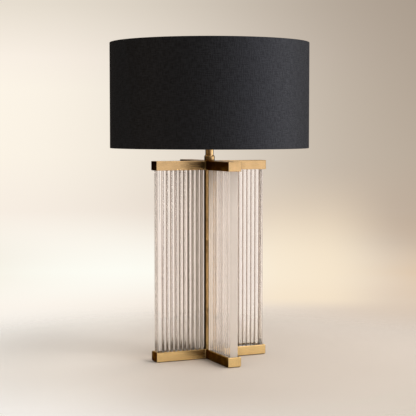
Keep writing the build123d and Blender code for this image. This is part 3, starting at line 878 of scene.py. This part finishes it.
def notch_hem(bm, bearing, inner, low, high):
    """Open the upper hem where a spider wire comes up to the ring."""
    gone = []
    for face in bm.faces:
        x, y, z = face.calc_center_median()
        at_wire = abs(wrapped(math.atan2(y, x) - bearing)) < math.pi / COVER_STEPS
        in_hem = math.hypot(x, y) < inner + 1.2 * COVER_WALL and low - COVER_WALL < z < high
        if at_wire and in_hem:
            gone.append(face)
    corners = {v for face in gone for v in face.verts}
    bmesh.ops.delete(bm, geom=gone, context="FACES")
    corners = [v for v in corners if v.is_valid]
    for side in (-1, 1):
        wall_side = [v for v in corners if side * math.sin(math.atan2(v.co.y, v.co.x) - bearing) > 0]
        bmesh.ops.contextual_create(bm, geom=wall_side)
    top = [v for v in corners if v.co.z > high - COVER_WALL]
    bmesh.ops.contextual_create(bm, geom=top)


def cover_lap(low, high):
    """The strip at the back where one end of the cover lies over the other."""
    outer = high.x + 0.5 * MM
    bottom, top = low.z + COVER_WALL, high.z - COVER_WALL
    bm = outline([(high.x, bottom), (outer, bottom, 0.2 * MM), (outer, top, 0.2 * MM), (high.x, top)])
    spin_all(bm, COVER_LAP / high.x, LAP_STEPS)
    bmesh.ops.edgeloop_fill(bm, edges=[e for e in bm.edges if e.is_boundary])
    turn_about(bm, SEAM_BEARING)
    lay_weave(bm)
    return bm


def lay_weave(bm):
    """A UV map in metres: round the shade and up it, and inwards on its level faces."""
    layer = bm.loops.layers.uv.new("weave")
    for face in bm.faces:
        middle = face.calc_center_median()
        bearing = math.atan2(middle.y, middle.x)
        for loop in face.loops:
            x, y, z = loop.vert.co
            swing = wrapped(math.atan2(y, x) - bearing)
            loop[layer].uv = ((bearing + swing) * COVER_RADIUS, z + math.hypot(x, y))


def spider():
    """A pierced hub with three wires that climb to the upper ring."""
    low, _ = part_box("shade_spider")
    ring_low, ring_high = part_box("shade_top_ring")
    hub, hole, thick = 13 * MM, 3.4 * MM, 4 * MM
    radius = 1.6 * MM
    top = low.z + thick
    groove = top - 0.3 * MM
    middle = low.z + thick / 2
    end = ring_high.x - 1.5 * MM - radius - 0.05 * MM
    bm = turned(
        [
            (hole, low.z, 0.3 * MM),
            (hub, low.z, 0.9 * MM),
            (hub, top, 0.9 * MM),
            (8.5 * MM, top, 0.2 * MM),
            (8.2 * MM, groove, 0.2 * MM),
            (7.6 * MM, groove, 0.2 * MM),
            (7.3 * MM, top, 0.2 * MM),
            (hole, top, 0.3 * MM),
        ],
        steps=64,
    )
    for bearing in SPIDER_BEARINGS:
        route = [(hub / 2, 0, middle), (end, 0, middle), (end, 0, (ring_low.z + ring_high.z) / 2)]
        add_into(bm, turn_about(wire(route, [6 * MM], radius), bearing))
    return bm


class FinialOperator(bpy.types.Operator):
    """Finial: a round brass knob on a threaded insert"""

    bl_idname = "lamp.finial"
    bl_label = "Finial"

    def execute(self, context):
        piece("knob_insert", knob_insert(), "polished_brass", "finial_thread", "finial_insert")
        piece("finial_ball", finial_ball(), "polished_brass", "finial", "finial_knob")
        return {"FINISHED"}


def knob_insert():
    """The finial's brass insert: a tube with a flange that bears on the spider's hub."""
    low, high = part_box("finial_insert")
    bore, tube = 3.15 * MM, 4.6 * MM
    flange = low.z + 1.5 * MM
    return turned(
        [
            (bore, low.z, 0.2 * MM),
            (high.x, low.z, 0.4 * MM),
            (high.x, flange, 0.4 * MM),
            (tube, flange),
            (tube, high.z, 0.3 * MM),
            (bore, high.z, 0.2 * MM),
        ],
        steps=64,
    )


def finial_ball():
    """A ball on a grooved foot, bored from below."""
    low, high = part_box("finial_knob")
    ball = high.x
    middle = high.z - ball
    foot, neck, bore = 8 * MM, 6.2 * MM, 4.65 * MM
    bore_depth = 10 * MM
    start = math.sqrt(ball**2 - neck**2)
    bm = outline(
        [
            (0, low.z + bore_depth),
            (bore, low.z + bore_depth),
            (bore, low.z, 0.2 * MM),
            (foot, low.z, 0.6 * MM),
            (foot, low.z + 1.3 * MM, 0.3 * MM),
            (foot - 0.5 * MM, low.z + 1.5 * MM, 0.2 * MM),
            (foot, low.z + 1.7 * MM, 0.3 * MM),
            (foot, low.z + 3 * MM, 0.5 * MM),
            (neck, middle - start),
        ],
        closed=False,
    )
    crown = bm.verts.new((neck, 0, middle - start))
    sweep = math.pi / 2 + math.asin(start / ball)
    bmesh.ops.spin(bm, geom=[crown], cent=(0, 0, middle), axis=(0, -1, 0), angle=sweep, steps=32)
    spin_all(bm, FULL_TURN, 64)
    return bm


# --- Harp ---
class HarpOperator(bpy.types.Operator):
    """Saddle, harp wire, sleeves and threaded stud"""

    bl_idname = "lamp.harp"
    bl_label = "Harp"

    def execute(self, context):
        piece("saddle_strap", saddle_strap(), "polished_brass", "lamp_base", "harp_saddle")
        piece("harp_wire", harp_wire(), "polished_brass", "lamp_base", "harp")
        for side in ("left", "right"):
            node = f"harp_sleeve_{side}"
            piece(f"lift_{node}", sleeve(*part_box(node)), "polished_brass", f"sleeve_{side}", node)
        piece("threaded_stud", threaded_stud(), "polished_brass", "lamp_base", "harp_stud")
        return {"FINISHED"}


def saddle_strap():
    """A flat strap with a standing ear at each end, for the harp's legs."""
    low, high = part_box("harp_saddle")
    plate, ear_width, ear_place = 1.6 * MM, 5 * MM, 29 * MM
    strap = (high.x - low.x, high.y - low.y, plate)
    bm = block(strap, (0, 0, low.z + plate / 2), 0.3 * MM, corner=5.5 * MM)
    ear = (plate, ear_width, high.z - low.z - plate / 2)
    for side in (-1, 1):
        add_into(bm, block(ear, (side * ear_place, 0, high.z - ear[2] / 2), 0.4 * MM))
    return bm


def harp_wire():
    """The harp's wire, bent from its right foot over the bulb to its left foot."""
    low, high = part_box("harp")
    radius = 1.6 * MM
    leg, crown_corner = 31.45 * MM, 15 * MM                     # from the axis
    bow_start, bow_low, bow_high = 30 * MM, 82 * MM, 128 * MM   # above the feet
    widest = high.x - radius
    crown = high.z - radius
    shoulder, waist, crown_bend = 40 * MM, 45 * MM, 11 * MM     # bend radii
    right = [
        (leg, 0, low.z),
        (leg, 0, low.z + bow_start),
        (widest, 0, low.z + bow_low),
        (widest, 0, low.z + bow_high),
        (crown_corner, 0, crown),
    ]
    left = [(-x, y, z) for x, y, z in reversed(right)]
    bends = [shoulder, waist, waist, crown_bend]
    return wire(right + left, bends + bends[::-1], radius)


def sleeve(low, high):
    """A lift sleeve: a tube with a rolled lip at each end."""
    outer = (high.x - low.x) / 2
    bore = outer - 1.1 * MM
    tube = outer - 0.45 * MM
    lip = 1.2 * MM
    slope = 1.4 * lip           # where the lip has run out into the tube
    bm = turned(
        [
            (bore, low.z, 0.3 * MM),
            (outer, low.z, 0.5 * MM),
            (outer, low.z + lip, 0.3 * MM),
            (tube, low.z + slope, 0.3 * MM),
            (tube, high.z - slope, 0.3 * MM),
            (outer, high.z - lip, 0.3 * MM),
            (outer, high.z, 0.5 * MM),
            (bore, high.z, 0.3 * MM),
        ],
        steps=48,
    )
    move(bm, ((low.x + high.x) / 2, 0, 0))
    return bm


def threaded_stud():
    """The harp's stud: a round bush and the thread that takes the finial."""
    low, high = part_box("harp_stud")
    shoulder = low.z + 7 * MM
    core = 2.6 * MM
    bm = turned(
        [
            (0, low.z),
            (high.x, low.z, 0.8 * MM),
            (high.x, shoulder, 0.8 * MM),
            (core, shoulder),
            (core, high.z, 0.6 * MM),
            (0, high.z),
        ],
        closed=False,
        steps=48,
    )
    radius, depth, pitch = 3.1 * MM, 0.5 * MM, 0.94 * MM
    add_into(bm, thread(radius, depth, pitch, shoulder + 0.2 * MM, high.z - 0.4 * MM))
    return bm


# --- Lampholder and bulb ---
class HolderOperator(bpy.types.Operator):
    """Lampholder with its cap, shell, switch and contacts"""

    bl_idname = "lamp.holder"
    bl_label = "Lampholder"

    def execute(self, context):
        piece("holder_cup", holder_cup(), "polished_brass", "lamp_base", "holder_cap")
        piece("holder_barrel", holder_barrel(), "polished_brass", "lamp_base", "holder_shell")
        piece("screw_sleeve", screw_sleeve(), "polished_brass", "lamp_base", "screw_shell")
        piece("ridged_knob", ridged_knob(), "black_resin", "switch", "switch_knob")
        dress("polished_brass", "centre_contact")
        dress("zinc_steel", "cap_set_screw", "terminal_screws", "switch_shaft")
        dress("fibre_card", "holder_card_sleeve")
        dress("black_resin", "switch_housing")
        return {"FINISHED"}


def holder_cup():
    """The lampholder's cap: a hub that opens into a cup with a stepped rim."""
    low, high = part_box("holder_cap")
    hub, bore, wall = 9 * MM, 5.05 * MM, 0.8 * MM
    shoulder = low.z + 5 * MM
    rim = high.z - 7 * MM
    cup = high.x - 0.4 * MM
    return turned(
        [
            (bore, low.z),
            (hub, low.z, 0.6 * MM),
            (hub, shoulder, 1.2 * MM),
            (cup, rim, 2.5 * MM),
            (cup, rim + 1.4 * MM, 0.3 * MM),
            (high.x, rim + 1.8 * MM, 0.3 * MM),
            (high.x, high.z, 0.35 * MM),
            (high.x - wall, high.z, 0.3 * MM),
            (high.x - wall - 0.2 * MM, rim + 0.5 * MM, 1.5 * MM),
            (hub, shoulder + wall, 1.0 * MM),
            (bore, shoulder + wall),
        ]
    )


def holder_barrel():
    """The lampholder's shell: two beads, a rolled rim and a hole for the switch's shaft."""
    low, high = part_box("holder_shell")
    outer = high.x - 0.25 * MM
    inner = high.x - 0.6 * MM
    section = [(inner, low.z), (outer, low.z)]
    for height in (38 * MM, 41 * MM):
        bead = low.z + height
        section += [(outer, bead - 0.9 * MM), (high.x, bead, 0.5 * MM), (outer, bead + 0.9 * MM)]
    section += [
        (outer, high.z - 1.2 * MM),
        (high.x, high.z - 0.8 * MM, 0.2 * MM),
        (high.x, high.z, 0.25 * MM),
        (inner, high.z, 0.25 * MM),
    ]
    shaft_low, shaft_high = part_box("switch_shaft")
    hole = 3.4 * MM
    drill = bmesh.new()
    bmesh.ops.create_cone(drill, cap_ends=True, segments=32, radius1=hole, radius2=hole, depth=10 * MM)
    turn_about(drill, 90, "X")
    move(drill, (0, -high.x, (shaft_low.z + shaft_high.z) / 2))
    return cut_from(turned(section), drill)


def screw_sleeve():
    """The holder's screw shell: a thin wall in round waves, one to each pitch of the bulb."""
    low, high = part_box("screw_shell")
    wall, wave, points = 0.25 * MM, 0.2 * MM, 6
    rise = BULB_THREAD_PITCH / points
    outside = [
        (high.x - wall + wave * math.cos(FULL_TURN * row / points), low.z + row * rise)
        for row in range(int((high.z - low.z) / rise) + 1)
    ]
    inside = [(x - wall, z) for x, z in reversed(outside)]
    return turned(outside + inside, steps=64)


def ridged_knob():
    """The switch's knob: a round bar along Y with grooves down it and a domed end."""
    low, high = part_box("switch_knob")
    radius = (high.x - low.x) / 2
    grooves, groove_depth = 16, 0.35 * MM
    foot, bevel, crown = 0.6 * MM, 1.2 * MM, 0.6 * MM
    grip = high.y - low.y - foot - bevel - crown
    bm = bmesh.new()
    bmesh.ops.create_circle(bm, cap_ends=True, segments=grooves * 8, radius=radius)
    for vert in bm.verts:
        bearing = math.atan2(vert.co.y, vert.co.x)
        depth = groove_depth * (0.5 - 0.5 * math.cos(grooves * bearing)) ** 2
        vert.co *= 1 - depth / radius
    ends = bm.faces[:]
    for rise, shrink in ((foot, 1.06), (grip, 1.0), (bevel, 0.93), (crown, 0.8)):
        made = bmesh.ops.extrude_face_region(bm, geom=ends)["geom"]
        ends = only(BMFace, made)
        verts = only(BMVert, made)
        bmesh.ops.translate(bm, vec=(0, 0, rise), verts=verts)
        bmesh.ops.scale(bm, vec=(shrink, shrink, 1), verts=verts)
    bmesh.ops.scale(bm, vec=(0.94, 0.94, 1), verts=bm.verts)
    turn_about(bm, 90, "X")
    move(bm, (0, high.y, (low.z + high.z) / 2))
    return bm


class BulbOperator(bpy.types.Operator):
    """Bulb: opal globe on a threaded cap"""

    bl_idname = "lamp.bulb"
    bl_label = "Bulb"

    def execute(self, context):
        piece("threaded_cap", threaded_cap(), "bulb_aluminium", "bulb_thread", "bulb_cap")
        piece("cap_insulator", cap_insulator(), "black_resin", "bulb_thread", "bulb_cap")
        piece("opal_globe", globe(), "opal_glass", "bulb", "bulb_globe", smooth_angle=60)
        return {"FINISHED"}


CAP_TIP = 4.5 * MM              # radius of the contact under the bulb's cap
CAP_SKIRT = 6.0 * MM            # from the tip up to the top of the black cone


def threaded_cap():
    """The bulb's metal: its tip, its thread and the plain collar that holds the glass."""
    low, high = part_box("bulb_cap")
    bm = turned(
        [
            (0, low.z),
            (CAP_TIP, low.z, 0.8 * MM),
            (CAP_TIP, low.z + 1.5 * MM),
            (0, low.z + 1.5 * MM),
        ],
        closed=False,
        steps=48,
    )
    collar = turned(
        [
            (0, high.z - 4 * MM),
            (high.x - 0.9 * MM, high.z - 4 * MM),
            (high.x, high.z - 3 * MM, 0.4 * MM),
            (high.x, high.z, 0.3 * MM),
            (0, high.z),
        ],
        closed=False,
        steps=64,
    )
    add_into(bm, collar)
    pitch = BULB_THREAD_PITCH
    start, end = low.z + CAP_SKIRT - pitch, high.z - 2 * MM
    add_into(bm, thread(high.x, 0.9 * MM, pitch, start, end, points=8, steps=48))
    return bm


def cap_insulator():
    """The black cone between the bulb's tip and its thread."""
    low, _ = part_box("bulb_cap")
    bottom, top = low.z + 0.6 * MM, low.z + CAP_SKIRT
    return turned(
        [
            (0, bottom),
            (CAP_TIP + 0.4 * MM, bottom, 0.3 * MM),
            (11.4 * MM, low.z + 3.2 * MM, 0.8 * MM),
            (12.0 * MM, top),
            (0, top),
        ],
        closed=False,
        steps=64,
    )


def globe():
    """The bulb's glass: a neck that swells into a half sphere."""
    low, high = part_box("bulb_globe")
    neck = 13.4 * MM
    widest = high.z - high.x
    reach = (widest - low.z) / 3
    neck_pull = (neck, 0, low.z + reach)
    ball_pull = (high.x, 0, widest - reach * 1.1)
    swell = interpolate_bezier((neck, 0, low.z), neck_pull, ball_pull, (high.x, 0, widest), 28)
    bm = outline([(0, low.z)] + [(p.x, p.z) for p in swell], closed=False)
    bm.verts.ensure_lookup_table()
    rim = bm.verts[-1]
    bmesh.ops.spin(bm, geom=[rim], cent=(0, 0, widest), axis=(0, -1, 0), angle=math.pi / 2, steps=24)
    spin_all(bm, FULL_TURN, 96)
    return bm


# --- Panel, registration and run ---
class LampPanel(bpy.types.Panel):
    """The lamp's operators"""

    bl_idname = "VIEW3D_PT_lamp"
    bl_label = "Table lamp"
    bl_space_type = "VIEW_3D"
    bl_region_type = "UI"
    bl_category = "Lamp"

    def draw(self, context):
        for step in STEPS:
            self.layout.operator(step.bl_idname)


STEPS = (
    StageOperator,
    GlassOperator,
    BrassOperator,
    NeckOperator,
    HarpOperator,
    HolderOperator,
    BulbOperator,
    ShadeOperator,
    FinialOperator,
)
CLASSES = (LampSizes, *STEPS, LampPanel)


def register():
    """Register the classes and the lamp's properties."""
    for cls in CLASSES:
        bpy.utils.register_class(cls)
    bpy.types.Scene.lamp_sizes = bpy.props.PointerProperty(type=LampSizes)


def unregister():
    """Take the classes and the properties away again."""
    del bpy.types.Scene.lamp_sizes
    for cls in reversed(CLASSES):
        bpy.utils.unregister_class(cls)


def main():
    """Dress the lamp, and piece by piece."""
    register()
    FINISHES.update(finishes(bpy.context.scene.lamp_sizes))
    for step in STEPS:
        group, name = step.bl_idname.split(".")
        getattr(getattr(bpy.ops, group), name)()


if __name__ == "__main__":
    main()
